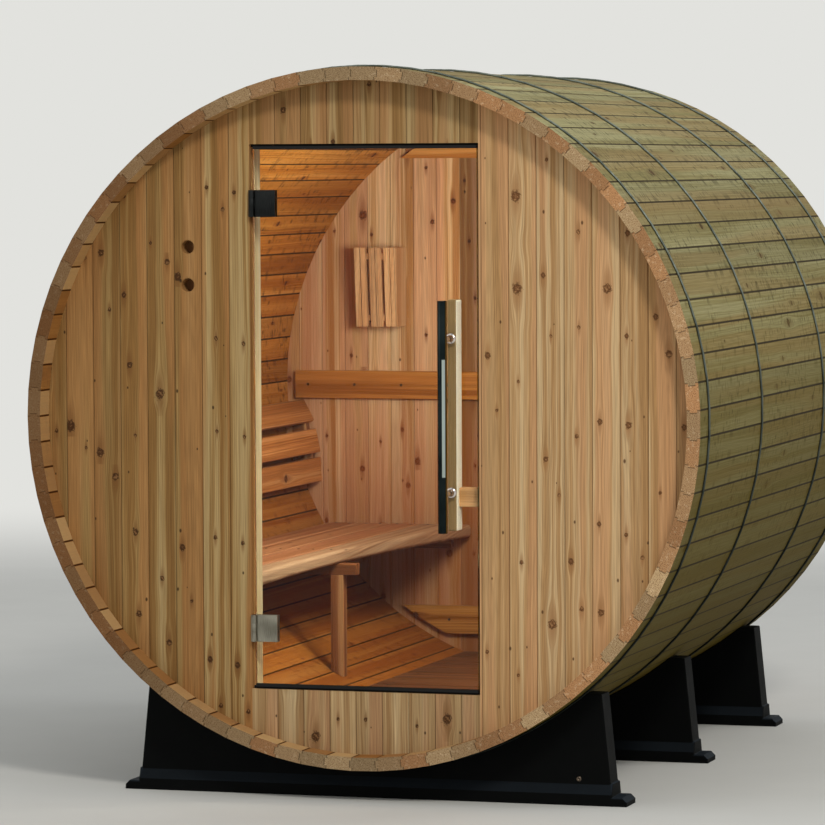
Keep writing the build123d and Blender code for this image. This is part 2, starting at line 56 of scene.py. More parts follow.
# where the frame's boards lie: faces, and the first joint and the width of boards in a row
layout = {
    "frontFace": -1.002, "backFace": 0.989, "frameFace": -0.912, "battenFace": 0.969, "coverFace": -0.9637,
    "handleFace": -0.941, "floorTop": 0.18, "floorStart": -0.964, "floorPitch": 0.1502,
    "seatTop": 0.568, "seatStart": -0.3475, "seatPitch": 0.098,
}


class Wire:
    # an output socket that can stand in a sum
    def __init__(self, finish, socket):
        self.finish = finish
        self.socket = socket

    def out(self, name):
        # another output of the same node
        found = next(s for s in self.socket.node.outputs if s.name == name and s.enabled)
        return Wire(self.finish, found)

    def maths(self, operation, first, second=0.0):
        return self.finish.node("ShaderNodeMath", {"operation": operation}, {0: first, 1: second})

    def __add__(self, other):
        return self.maths("ADD", self, other)

    __radd__ = __add__

    def __sub__(self, other):
        return self.maths("SUBTRACT", self, other)

    def __rsub__(self, other):
        return self.maths("SUBTRACT", other, self)

    def __mul__(self, other):
        return self.maths("MULTIPLY", self, other)

    __rmul__ = __mul__

    def __truediv__(self, other):
        return self.maths("DIVIDE", self, other)

    def __abs__(self):
        return self.maths("ABSOLUTE", self)

    def __lt__(self, other):
        return self.maths("LESS_THAN", self, other)

    def __gt__(self, other):
        return self.maths("GREATER_THAN", self, other)

    def root(self):
        return self.maths("SQRT", self)

    def floor(self):
        return self.maths("FLOOR", self)

    def sine(self):
        return self.maths("SINE", self)

    def atLeast(self, other):
        return self.maths("MAXIMUM", self, other)


def linear(tone):
    # screen colour, 0 to 255, to the linear values that sockets take
    c = np.array(tone) / 255
    c = np.where(c <= 0.04045, c / 12.92, ((c + 0.055) / 1.055) ** 2.4)
    return (*c.tolist(), 1.0)


class Shader:
    # the nodes of one material or world; all of them come from the method node
    def __init__(self, holder):
        holder.use_nodes = True
        self.tree = holder.node_tree
        self.tree.nodes.clear()

    def node(self, kind, settings=None, sockets=None):
        made = self.tree.nodes.new(kind)
        for key, value in (settings or {}).items():
            setattr(made, key, value)
        for key, value in (sockets or {}).items():
            byNumber = isinstance(key, int)
            socket = made.inputs[key] if byNumber else next(
                s for s in made.inputs if s.name == key and s.enabled)
            if isinstance(value, Wire):
                self.tree.links.new(value.socket, socket)
            else:
                socket.default_value = value
        live = [s for s in made.outputs if s.enabled]
        return Wire(self, live[0]) if live else made


class Finish(Shader):
    # a material that knows where on the piece it is
    def __init__(self, name):
        self.material = bpy.data.materials.new(name)
        super().__init__(self.material)
        self.spot = self.node("ShaderNodeTexCoord").out("Object")
        split = self.node("ShaderNodeSeparateXYZ", {}, {0: self.spot})
        self.x, self.y, self.z = split.out("X"), split.out("Y"), split.out("Z")

    def normal(self, axis):
        # how far a face looks along the axis
        split = self.node("ShaderNodeSeparateXYZ", {}, {0: self.node("ShaderNodeTexCoord").out("Normal")})
        return split.out(axis)

    def vector(self, x, y, z):
        return self.node("ShaderNodeCombineXYZ", {}, {0: x, 1: y, 2: z})

    def noise(self, u, v, detail=0.0):
        # flat noise over two coordinates, already scaled
        return self.node("ShaderNodeTexNoise", {"noise_dimensions": "2D"},
                         {"Vector": self.vector(u, v, 0.0), "Scale": 1.0, "Detail": detail, "Roughness": 0.55})

    def cloud(self, scale, detail=1.0):
        # noise in the space round the piece
        return self.node("ShaderNodeTexNoise", {"noise_dimensions": "3D"},
                         {"Vector": self.spot, "Scale": scale, "Detail": detail, "Roughness": 0.55})

    def chance(self, number):
        # three random numbers that belong to a whole number
        drawn = self.node("ShaderNodeTexWhiteNoise", {"noise_dimensions": "1D"}, {"W": number})
        split = self.node("ShaderNodeSeparateColor", {}, {0: drawn.out("Color")})
        return split.out("Red"), split.out("Green"), split.out("Blue")

    def rise(self, value, low, high, start=0.0, end=1.0):
        # smooth step from start at low to end at high
        return self.node("ShaderNodeMapRange", {"interpolation_type": "SMOOTHSTEP"},
                         {"Value": value, "From Min": low, "From Max": high, "To Min": start, "To Max": end})

    def blend(self, share, first, second):
        tones = [linear(c) if isinstance(c, tuple) else c for c in (first, second)]
        return self.node("ShaderNodeMix", {"data_type": "RGBA"}, {"Factor": share, "A": tones[0], "B": tones[1]})

    def scaled(self, colour, amount):
        return self.node("ShaderNodeVectorMath", {"operation": "SCALE"}, {"Vector": colour, "Scale": amount})

    def bump(self, height, distance, strength):
        return self.node("ShaderNodeBump", {}, {"Height": height, "Distance": distance, "Strength": strength})

    def surface(self, sockets):
        # closes the material with one principled shader
        shader = self.node("ShaderNodeBsdfPrincipled", {}, sockets)
        self.node("ShaderNodeOutputMaterial", {}, {"Surface": shader})
        return self.material


# how the figure of the wood is drawn: lengths in metres, repeats per metre; a pair gives the values
# where a tone or mark starts and where it is full
figure = {
    "knotSpread": 0.75, "knotLeast": 0.3, "knotOutline": 150.0, "spindle": 0.05, "parting": 1.2,
    "wanderAlong": 1.3, "wander": 0.012, "zoneAlong": 0.4, "lineAlong": 0.9, "hueAcross": 22.0, "hueAlong": 0.5,
    "fibreAcross": 460.0, "fibreAlong": 9.0, "pithBehind": 0.01, "pithDepth": 0.05, "pithSpread": 1.2,
    "ringWander": 4.0, "zoneWeight": 0.7, "lineWeight": 0.3, "toneSpread": 0.2,
    "light": (0.36, 0.56), "pale": (0.5, 0.7), "other": (0.42, 0.62),
    "knot": (1.2, 0.7), "knotShare": 0.95, "halo": (1.7, 0.3), "haloShare": 0.6, "rim": (0.35, 0.05), "rimAt": 0.9,
    "dotLeast": 0.0016, "dotSpread": 0.003, "dotLong": 0.6, "dotShare": 0.85,
}
# what all wood shares: shine, roughness, relief in metres and its strength, and how joints darken
wood = {
    "shine": 0.12, "staveShine": 0.072, "wallRough": 0.62, "plankRough": 0.55, "staveRough": 0.72,
    "wallRelief": 0.0008, "plankRelief": 0.0006, "staveRelief": 0.0009, "relief": 0.5,
    "wallJoint": (0.0022, 0.0004), "wallJointDark": 0.3, "plankJoint": 0.06, "plankJointMost": 0.008,
    "plankJointDark": 0.4,
}


def woodGrain(f, along, across, deep, board, look, inner=None, share=0.0):
    # Rings round a pith that lies beside the board, cut by the face. Knots stand in a row along each
    # board, and the grain parts round them as water round a post: its offset is scaled by
    # 1 - R squared / d squared, with d measured short along the board so that the grain makes spindles.
    # Multiples of board only shift the noise, so that no two boards are alike.
    def tone(key):
        return look[key] if inner is None else f.blend(share, look[key], inner[key])

    g = figure
    one, two, three = f.chance(board + look["seed"])
    width = look["width"]
    row = along / look["knotEvery"] + one * 40.0 + board * 3.7
    cell = f.node("ShaderNodeTexVoronoi", {"voronoi_dimensions": "1D", "feature": "F1"}, {"W": row, "Scale": 1.0})
    knotSplit = f.node("ShaderNodeSeparateColor", {}, {0: cell.out("Color")})
    knotA, knotB, knotC = knotSplit.out("Red"), knotSplit.out("Green"), knotSplit.out("Blue")
    border = f.node("ShaderNodeTexVoronoi", {"voronoi_dimensions": "1D", "feature": "DISTANCE_TO_EDGE"},
                    {"W": row, "Scale": 1.0})
    up = (row - cell.out("W")) * look["knotEvery"]
    side = across - (knotA - 0.5) * (width * g["knotSpread"])
    size = g["knotLeast"] + (1.0 - g["knotLeast"]) * knotB * knotB
    radius = size * look["knotSize"] * (knotC < look["knotShare"])
    eye = f.noise(side * g["knotOutline"] + knotA * 9.0, up * g["knotOutline"], 1.0)
    apart = (up * up * 0.75 + side * side).root() * (0.45 + 1.1 * eye)
    flow = side * side + up * up * g["spindle"]
    pushed = (radius * radius * g["parting"]).atLeast(0.0000001)
    bent = across - f.rise(border, 0.0, 0.2) * side * pushed / flow.atLeast(pushed)

    slow = f.noise(board * 5.3 + across * 3.0, along * g["wanderAlong"]) - 0.5
    bent = bent + slow * g["wander"]
    zone = f.noise(bent * look["zone"] + board * 9.1 + deep * 25.0, along * g["zoneAlong"], 1.5)
    line = f.noise(bent * look["line"] + board * 4.7 + deep * 160.0, along * g["lineAlong"], 1.5)
    hue = f.noise(bent * g["hueAcross"] + board * 13.0 + deep * 20.0, along * g["hueAlong"] + 7.0)
    fibre = f.noise((across + deep) * g["fibreAcross"] + board * 3.0, along * g["fibreAlong"])
    inward = deep + g["pithBehind"] + g["pithDepth"] * two + slow * 0.05
    sideways = bent - (three - 0.5) * (width * g["pithSpread"]) + slow * 0.02
    pith = (inward * inward + sideways * sideways).root()
    rings = ((pith / look["ring"] + zone * g["ringWander"]) * tau).sine() * 0.5 + 0.5

    mixed = zone * g["zoneWeight"] + line * g["lineWeight"]
    paleness = mixed + one * g["toneSpread"] - g["toneSpread"] / 2
    otherness = hue + two * g["toneSpread"] - g["toneSpread"] / 2
    colour = f.blend(f.rise(mixed, *g["light"]), tone("dark"), tone("light"))
    colour = f.blend(f.rise(paleness, *g["pale"]) * look["sapwood"], colour, tone("pale"))
    colour = f.blend(f.rise(otherness, *g["other"]) * look["mixing"], colour, tone("other"))
    level = 1.0 + (three - 0.5) * look["boards"] + (line - 0.5) * look["lines"]
    level = level * (1.0 - rings * rings * look["ringDepth"]) * (1.0 + (fibre - 0.5) * look["fibre"])
    colour = f.scaled(colour, level)

    reach = radius.atLeast(0.0001)
    there = radius > 0.0005
    inside = f.rise(apart / reach, *g["knot"]) * there
    tail = f.rise(flow.root() / reach, *g["halo"]) * there
    rim = f.rise(abs(apart / reach - g["rimAt"]), *g["rim"]) * there
    colour = f.blend(tail * g["haloShare"], colour, tone("halo"))
    core = f.rise(eye + apart / reach * 0.3, 0.3, 0.6 + 0.3 * knotA)
    colour = f.blend(inside * g["knotShare"], colour, f.blend(core, tone("knotLight"), tone("knot")))
    colour = f.blend(rim * eye, colour, tone("knotRim"))
    return colour, fibre


def dots(f, along, across, colour, look):
    # small dark pin knots, a little longer along the board
    cell = f.node("ShaderNodeTexVoronoi", {"voronoi_dimensions": "2D", "feature": "F1"},
                  {"Vector": f.vector(across, along * figure["dotLong"], 0.0), "Scale": look["dotScale"]})
    pick = f.node("ShaderNodeSeparateColor", {}, {0: cell.out("Color")})
    size = (pick.out("Red") * figure["dotSpread"] + figure["dotLeast"]) * look["dotScale"]
    seen = f.rise(cell.out("Distance"), size, size * 0.4) * (pick.out("Green") < look["dotShare"])
    return f.blend(seen * figure["dotShare"], colour, look["knotRim"])


frontLook = {
    "seed": 3.0, "width": 0.0764, "ring": 0.0045, "zone": 30.0, "line": 210.0, "knotEvery": 0.25,
    "knotSize": 0.0125, "knotShare": 0.9, "mixing": 0.7, "sapwood": 0.6, "boards": 0.16, "lines": 0.36,
    "ringDepth": 0.08, "fibre": 0.36, "dotScale": 10.0, "dotShare": 0.6,
    "dark": (130, 94, 50), "light": (150, 119, 72), "other": (156, 110, 64), "pale": (174, 150, 106),
    "knot": (66, 38, 16), "knotLight": (128, 92, 56), "knotRim": (46, 26, 10), "halo": (110, 70, 34),
}
insideLook = dict(
    frontLook, seed=11.0, dark=(162, 100, 46), light=(192, 132, 74), other=(196, 132, 80), pale=(216, 168, 112),
    knot=(84, 40, 18), knotLight=(128, 70, 34), knotRim=(52, 26, 12), halo=(130, 70, 32), boards=0.24,
    knotSize=0.013, lines=0.4)
backLook = dict(insideLook, dark=(184, 132, 78), light=(214, 174, 120), other=(222, 172, 132), pale=(244, 216, 174),
                sapwood=0.9, mixing=0.8, zone=24.0, boards=0.3, low=(150, 76, 20), lowShadeShare=0.6,
                lowHeights=(1.2, 0.5), lowLeft=(-0.5, -0.8, 0.7), shadeFrom=-0.325, shadeDark=0.42)


def wallBoards(name, joint, width, outer, inner, face, outsideSign):
    # upright boards between joint lines at joint + whole widths
    f = Finish(name)
    place = (f.x - joint) / width
    board = place.floor()
    across = (place - board - 0.5) * width
    isInner = (f.normal("Y") * outsideSign) < -0.3
    colour, height = woodGrain(f, f.z, across, abs(f.y - face), board, dict(outer, width=width), inner, isInner)
    colour = dots(f, f.z, f.x, colour, outer)
    edge = width / 2 - abs(across)
    colour = f.scaled(colour, 1.0 - f.rise(edge, *wood["wallJoint"]) * wood["wallJointDark"])
    if "shadeFrom" in inner:
        # the part right of shadeFrom, and what lies low or far to the left, get less light
        colour = f.scaled(colour, 1.0 - (f.x > inner["shadeFrom"]) * isInner * inner["shadeDark"])
        leftFrom, leftTo, leftMost = inner["lowLeft"]
        shaded = f.rise(f.z, *inner["lowHeights"]).atLeast(f.rise(f.x, leftFrom, leftTo) * leftMost)
        colour = f.blend(shaded * isInner * inner["lowShadeShare"], colour, inner["low"])
    return f.surface({"Base Color": colour, "Roughness": wood["wallRough"], "Specular IOR Level": wood["shine"],
                      "Normal": f.bump(height, wood["wallRelief"], wood["relief"])})


def planks(name, axes, start, pitch, look, face):
    # boards along axes[0], side by side along axes[1] with the first joint at start
    f = Finish(name)
    where = {"x": f.x, "y": f.y, "z": f.z}
    place = (where[axes[1]] - start) / pitch
    board = place.floor()
    across = (place - board - 0.5) * pitch
    deep = abs(where[axes[2]] - face)
    colour, height = woodGrain(f, where[axes[0]], across, deep, board, dict(look, width=pitch))
    edge = pitch / 2 - abs(across)
    soft = min(pitch * wood["plankJoint"], wood["plankJointMost"])
    colour = f.scaled(colour, 1.0 - f.rise(edge, soft, soft * 0.3) * wood["plankJointDark"])
    # painted light: faces looking along +x are blended toward a near-white tone, as if lit from that side
    if "paintedLitSide" in look:
        colour = f.blend(f.rise(f.normal("X"), 0.5, 0.9), colour, look["paintedLitSide"])
    return f.surface({"Base Color": colour, "Roughness": wood["plankRough"], "Specular IOR Level": wood["shine"],
                      "Normal": f.bump(height, wood["plankRelief"], wood["relief"])})


staveLook = {
    "outside": dict(frontLook, seed=21.0, dark=(136, 126, 82), light=(154, 147, 104), other=(148, 122, 78),
                    pale=(168, 163, 124), knotEvery=0.5, knotShare=0.5, boards=0.34, mixing=0.5, sapwood=0.4,
                    zone=22.0, lines=0.4, knotLight=(120, 96, 66), halo=(120, 100, 66), fibre=0.3),
    "inside": dict(insideLook, dark=(158, 94, 26), light=(190, 128, 50), other=(168, 104, 34), pale=(208, 158, 88)),
    "lip": (138, 94, 50), "lipPale": (200, 168, 118), "low": (134, 64, 18), "underShade": (120, 99, 10),
    "seamOutside": (44, 33, 14), "seamInside": (60, 30, 10),
}
# what weather and use leave on the staves, with painted light and shade: a highlight beside each joint, light high
# inside, shade low inside and low outside; a pair gives the values where a mark starts and where it is full
wearAndPaintedLight = {
    "cutsAcross": 42.0, "cutsAlong": 120.0, "cuts": (0.68, 0.76), "cutsDark": 0.55, "patches": (0.36, 0.5),
    "dripsAlong": 28.0, "drips": (0.62, 0.72), "dripsBeside": (0.03, 0.004), "dripsDark": 0.4,
    "besideJoint": (0.009, 0.004), "jointHighlight": 0.12, "seam": (0.0038, 0.0018), "seamShare": 0.95,
    "ceiling": (0.9, 1.7), "ceilingLight": 0.12, "low": (1.3, 0.4), "lowShadeShare": 0.5, "otherShare": 0.35,
    "underShade": (1.8, 0.3), "underShadeShare": 0.8, "underShadeDark": 0.5, "lipShare": 0.8,
}
# the ends of the staves; lit gives two places across the barrel and the brightness at each
endGrain = {
    "red": (160, 118, 80), "grey": (166, 140, 104), "greyFor": (0.2, 0.8), "pale": (208, 182, 146),
    "paleIn": (0.56, 0.78), "paleShare": 0.45, "dark": (108, 74, 46), "darkIn": (0.52, 0.3), "darkShare": 0.7,
    "shaded": (88, 52, 20), "shadedSide": (0.0, -0.9), "shadedShare": 0.6, "lit": (-0.2, 0.85, 0.9, 1.26),
    "pithAside": 0.16, "pithBehind": 0.03, "pithDepth": 0.08, "ring": 0.0036, "ringWander": 1.6, "ringDark": 0.14,
    "coarse": 80.0, "speck": 380.0, "gap": (0.002, 0.0004), "gapDark": 0.55, "darkest": 0.78, "spread": 0.44,
    "relief": 1.8,
}


def staveWood():
    # The round wall. A point's angle from the top gives its stave, and the tongue shifts the joint
    # by its reach; the end grain, the outside and the inside are told apart by where a face looks.
    f = Finish("staveWood")
    rise = f.z - barrel["axisHeight"]
    radius = (f.x * f.x + rise * rise).root()
    turn = f.x.maths("ARCTAN2", f.x, rise)
    onTongue = abs(radius - barrel["tongueRadius"]) < barrel["tongueHalf"]
    turn = turn - onTongue * barrel["tongueReach"] / radius
    place = f.node("ShaderNodeMath", {"operation": "FLOORED_MODULO"},
                   {0: turn / staveStep + barrel["seam"], 1: float(barrel["staves"])})
    board = place.floor()
    across = (place - board - 0.5) * staveStep * radius
    deep = barrel["outerFlat"] - radius
    width = staveStep * barrel["outerFlat"]
    isInside = radius < barrel["tongueRadius"]
    side, height = woodGrain(f, f.y, across, deep, board, dict(staveLook["outside"], width=width),
                             staveLook["inside"], isInside)

    one, two, three = f.chance(board + 55.0)
    edge = staveStep * radius / 2 - abs(across)
    lean = across * (two * 0.8 - 0.1)
    marks = f.noise(across * wearAndPaintedLight["cutsAcross"] + board * 7.0, (f.y + lean) * wearAndPaintedLight["cutsAlong"])
    patches = f.noise(f.y * 3.0 + board * 0.6, turn * 2.0, 1.0)
    cuts = f.rise(marks, *wearAndPaintedLight["cuts"]) * f.rise(patches, *wearAndPaintedLight["patches"])
    runs = f.noise(board * 3.7, (f.y + lean) * wearAndPaintedLight["dripsAlong"])
    drips = f.rise(runs, *wearAndPaintedLight["drips"]) * f.rise(edge, *wearAndPaintedLight["dripsBeside"])
    # painted highlight: a light strip beside each joint stands for the catch-light on an eased edge
    beside = f.rise(edge, *wearAndPaintedLight["besideJoint"]) * wearAndPaintedLight["jointHighlight"]
    side = f.scaled(side, 1.0 - cuts * wearAndPaintedLight["cutsDark"] - drips * wearAndPaintedLight["dripsDark"] + beside)
    seam = f.rise(edge, *wearAndPaintedLight["seam"])
    # painted light: the inside staves are made lighter high up
    side = f.scaled(side, 1.0 + isInside * f.rise(f.z, *wearAndPaintedLight["ceiling"]) * wearAndPaintedLight["ceilingLight"])
    # painted shade: the inside staves low down blend toward a darker red-brown
    low = isInside * f.rise(f.z, *wearAndPaintedLight["low"]) * (1.0 - seam)
    side = f.blend(low * wearAndPaintedLight["lowShadeShare"], side, staveLook["low"])
    other = f.rise(two, 0.6, 1.0) * wearAndPaintedLight["otherShare"] * (1.0 - isInside)
    side = f.blend(other, side, staveLook["outside"]["other"])
    # painted shade: the outside staves grow darker and browner towards the bottom
    underShade = f.rise(f.z, *wearAndPaintedLight["underShade"]) * (1.0 - isInside)
    side = f.scaled(f.blend(underShade * wearAndPaintedLight["underShadeShare"], side, staveLook["underShade"]), 1.0 - underShade * wearAndPaintedLight["underShadeDark"])
    seamTone = f.blend(isInside, staveLook["seamOutside"], staveLook["seamInside"])
    side = f.blend(seam * wearAndPaintedLight["seamShare"], side, seamTone)
    onLip = (abs(f.y) > barrel["lipFrom"]) * isInside * (1.0 - seam)
    side = f.blend(onLip * wearAndPaintedLight["lipShare"], side, f.blend(three, staveLook["lip"], staveLook["lipPale"]))

    e = endGrain
    sideways = across - (one - 0.5) * e["pithAside"]
    down = deep + e["pithBehind"] + two * e["pithDepth"]
    pith = (sideways * sideways + down * down).root()
    coarse = f.noise(across * e["coarse"] + board * 3.0, deep * e["coarse"], 2.0)
    speck = f.noise(across * e["speck"] + board * 5.0, deep * e["speck"], 1.0)
    arcs = ((pith / e["ring"] + coarse * e["ringWander"]) * tau).sine() * 0.5 + 0.5
    grain = f.blend(f.rise(two, *e["greyFor"]), e["red"], e["grey"])
    grain = f.blend(f.rise(coarse, *e["paleIn"]) * e["paleShare"], grain, e["pale"])
    grain = f.blend(f.rise(speck, *e["darkIn"]) * e["darkShare"], grain, e["dark"])
    level = (e["darkest"] + e["spread"] * three) * f.rise(f.x, *e["lit"]) * (1.0 - arcs * e["ringDark"])
    grain = f.scaled(grain, level * (1.0 - f.rise(edge, *e["gap"]) * e["gapDark"]))
    grain = f.blend(f.rise(f.x, *e["shadedSide"]) * e["shadedShare"], grain, e["shaded"])

    isEnd = abs(f.normal("Y")) > 0.7
    colour = f.blend(isEnd, side, grain)
    height = height * (1.0 - isEnd) + isEnd * speck * e["relief"]
    return f.surface({"Base Color": colour, "Roughness": wood["staveRough"], "Specular IOR Level": wood["staveShine"],
                      "Normal": f.bump(height, wood["staveRelief"], wood["relief"])})


metals = {
    "steel": {"light": (38, 46, 46), "dark": (22, 28, 28), "rough": 0.07, "brush": 260.0,
              "paintedReflection": (176, 186, 180), "reflectionHeights": (0.857, 1.157), "reflectionIn": (0.14, 0.22),
              "reflectionOut": (0.84, 0.7), "paintedWarmReflection": (124, 116, 76), "warmReflectionIn": (0.8, 0.92),
              "stand": (214, 206, 200), "standFrom": -1.066},
    "hingeDark": {"light": (46, 48, 48), "dark": (28, 29, 29), "rough": 0.42, "brush": 200.0},
    "hingeLight": {"light": (158, 154, 140), "dark": (112, 108, 96), "rough": 0.36, "brush": 200.0},
    "cable": {"light": (132, 140, 132), "dark": (80, 87, 80), "rough": 0.6, "brush": 160.0,
              "below": 0.12, "belowHeights": (0.3, 1.75)},
    "screw": {"light": (104, 92, 80), "dark": (58, 48, 40), "rough": 0.4, "brush": 300.0},
}
metalWear = {"stains": 14.0, "stainWeight": 0.7, "lineWeight": 0.3, "tone": (0.3, 0.65), "stainRough": 0.1,
             "lineRough": 0.06, "relief": 0.0001, "reliefShare": 0.3}


def metal(name, look):
    # brushed metal: fine lines along the height, with slow stains
    f = Finish(name)
    m = metalWear
    lines = f.noise((f.x + f.y) * look["brush"] * 6, f.z * look["brush"] * 0.2, 1.0)
    stains = f.cloud(m["stains"], 2.0)
    mixed = stains * m["stainWeight"] + lines * m["lineWeight"]
    tone = f.blend(f.rise(mixed, *m["tone"]), look["dark"], look["light"])
    if "below" in look:
        tone = f.scaled(tone, f.rise(f.z, *look["belowHeights"], look["below"], 1.0))
    if "paintedReflection" in look:
        # painted reflection: bands along the polished bar stand for what it mirrors, a pale band between two heights
        # on faces that look partly along +x, and a warm tone on faces that look along +x
        facing = f.normal("X")
        low, high = look["reflectionHeights"]
        paintedReflection = f.rise(facing, *look["reflectionIn"]) * f.rise(facing, *look["reflectionOut"])
        paintedReflection = paintedReflection * f.rise(f.z, low - 0.003, low) * f.rise(f.z, high + 0.003, high)
        tone = f.blend(paintedReflection, tone, look["paintedReflection"])
        tone = f.blend(f.rise(facing, *look["warmReflectionIn"]), tone, look["paintedWarmReflection"])
    if "stand" in look:
        tone = f.blend(f.y > look["standFrom"], tone, look["stand"])
    rough = look["rough"] + (stains - 0.5) * m["stainRough"] + (lines - 0.5) * m["lineRough"]
    return f.surface({"Base Color": tone, "Metallic": 1.0, "Roughness": rough,
                      "Normal": f.bump(lines, m["relief"], m["reliefShare"])})


plastic = {"main": (5, 6, 6), "worn": (16, 18, 17), "wornIn": (0.5, 0.8), "wornShare": 0.3, "ledge": (40, 48, 56),
           "ledgeTop": 0.0595, "shine": 0.06, "rough": 0.55, "dustRough": 0.25, "grain": 900.0, "dust": 12.0,
           "relief": 0.0002, "reliefShare": 0.4}


def mouldedPlastic():
    # matt black moulding with a fine leather grain and dusty worn patches; the upward-sloping ledges low on the
    # cradle get a pale bluish painted sheen, mottled by the dust
    f = Finish("cradlePlastic")
    grain = f.cloud(plastic["grain"])
    dust = f.cloud(plastic["dust"], 3.0)
    tone = f.blend(f.rise(dust, *plastic["wornIn"]) * plastic["wornShare"], plastic["main"], plastic["worn"])
    # painted sheen: upward-facing faces below ledgeTop are blended toward a pale bluish tone
    onLedge = f.rise(f.normal("Z"), 0.2, 0.5) * (f.z < plastic["ledgeTop"])
    tone = f.blend(onLedge * (0.3 + dust * 0.5), tone, plastic["ledge"])
    rough = plastic["rough"] + dust * plastic["dustRough"]
    return f.surface({"Base Color": tone, "Roughness": rough, "Specular IOR Level": plastic["shine"],
                      "Normal": f.bump(grain, plastic["relief"], plastic["reliefShare"])})


rubber = {"dark": (12, 12, 12), "light": (30, 29, 28), "shine": 0.2, "rough": 0.6, "grainRough": 0.2,
          "grain": 300.0, "relief": 0.0002, "reliefShare": 0.3}


def sealRubber():
    f = Finish("sealRubber")
    grain = f.cloud(rubber["grain"])
    tone = f.blend(grain, rubber["dark"], rubber["light"])
    rough = rubber["rough"] + grain * rubber["grainRough"]
    return f.surface({"Base Color": tone, "Roughness": rough, "Specular IOR Level": rubber["shine"],
                      "Normal": f.bump(grain, rubber["relief"], rubber["reliefShare"])})


glassLook = {"tint": (248, 250, 248), "smear": (243, 245, 243), "smears": 5.0, "edge": (70, 104, 92),
             "shadow": (250, 252, 250), "ior": 1.2}


def doorGlass():
    # clear toughened glass, greenish where one looks into its edge; lamps shine through it
    f = Finish("doorGlass")
    smear = f.cloud(glassLook["smears"], 2.0)
    onEdge = abs(f.normal("Y")) < 0.5
    shader = f.node("ShaderNodeBsdfPrincipled", {}, {
        "Base Color": f.blend(onEdge, f.blend(smear, glassLook["tint"], glassLook["smear"]), glassLook["edge"]),
        "Roughness": 0.0, "IOR": glassLook["ior"], "Transmission Weight": 1.0})
    clear = f.node("ShaderNodeBsdfTransparent", {}, {"Color": linear(glassLook["shadow"])})
    inShadow = f.node("ShaderNodeLightPath").out("Is Shadow Ray")
    mixed = f.node("ShaderNodeMixShader", {}, {0: inShadow, 1: shader, 2: clear})
    f.node("ShaderNodeOutputMaterial", {}, {"Surface": mixed})
    return f.material


benchLook = dict(insideLook, seed=41.0, dark=(156, 98, 56), light=(184, 126, 82), other=(190, 130, 90),
                 pale=(208, 158, 112), knotShare=0.4)
noseLook = dict(benchLook, seed=43.0, dark=(160, 118, 82), light=(186, 148, 110), other=(184, 140, 102),
                pale=(202, 168, 130), knotShare=0.3)
# the floor is darker than the inside walls: partly its own darker wood, partly painted shade for the space under the
# bench
floorLook = dict(insideLook, seed=45.0, dark=(100, 61, 34), light=(131, 86, 50), other=(122, 75, 44),
                 pale=(152, 106, 67))
slatLook = dict(insideLook, seed=47.0, dark=(158, 96, 42), light=(196, 130, 68), other=(184, 118, 60), knotShare=0.4)
battenLook = dict(insideLook, seed=49.0, dark=(156, 94, 34), light=(194, 132, 60), other=(178, 112, 46),
                  pale=(206, 150, 80), sapwood=0.9, knotShare=0.9)
shadeLook = dict(insideLook, seed=51.0, dark=(206, 156, 106), light=(226, 184, 134), other=(216, 168, 120),
                 pale=(232, 196, 150), knotShare=0.15)
frameLook = dict(frontLook, seed=53.0, dark=(190, 168, 120), light=(216, 198, 154), other=(206, 182, 138),
                 pale=(230, 216, 178), knotShare=0.25)
handleLook = dict(frontLook, seed=57.0, dark=(124, 99, 60), light=(149, 124, 81), other=(141, 112, 71),
                  pale=(162, 138, 96), knotShare=0.2, paintedLitSide=(255, 246, 224))
armLook = dict(frontLook, seed=59.0, dark=(176, 128, 80), light=(200, 152, 102), other=(196, 144, 96), knotShare=0.2)
# a darker copy of the inside wood for the bearers, leg and brackets: partly their own tone, partly painted shade
# under and behind the bench
darkLook = dict(insideLook, seed=61.0, dark=(122, 72, 38), light=(154, 96, 54), other=(140, 84, 46))
coverLook = dict(darkLook, dark=(104, 68, 38), light=(134, 92, 54))

frontRight = dict(frontLook, seed=5.0, dark=(170, 130, 84), light=(186, 148, 102), other=(192, 144, 100),
                  pale=(206, 180, 138), boards=0.12, knot=(104, 66, 36), knotLight=(160, 118, 78),
                  knotRim=(76, 46, 24), halo=(150, 104, 62), zone=42.0)
frontOver = dict(frontLook, seed=7.0, dark=(132, 98, 56), light=(154, 122, 78), other=(156, 114, 72))
frontUnder = dict(frontLook, seed=9.0, dark=(150, 116, 76), light=(172, 142, 100), other=(174, 132, 94),
                  pale=(194, 170, 130))
backOutside = dict(frontLook, seed=13.0, boards=0.25)

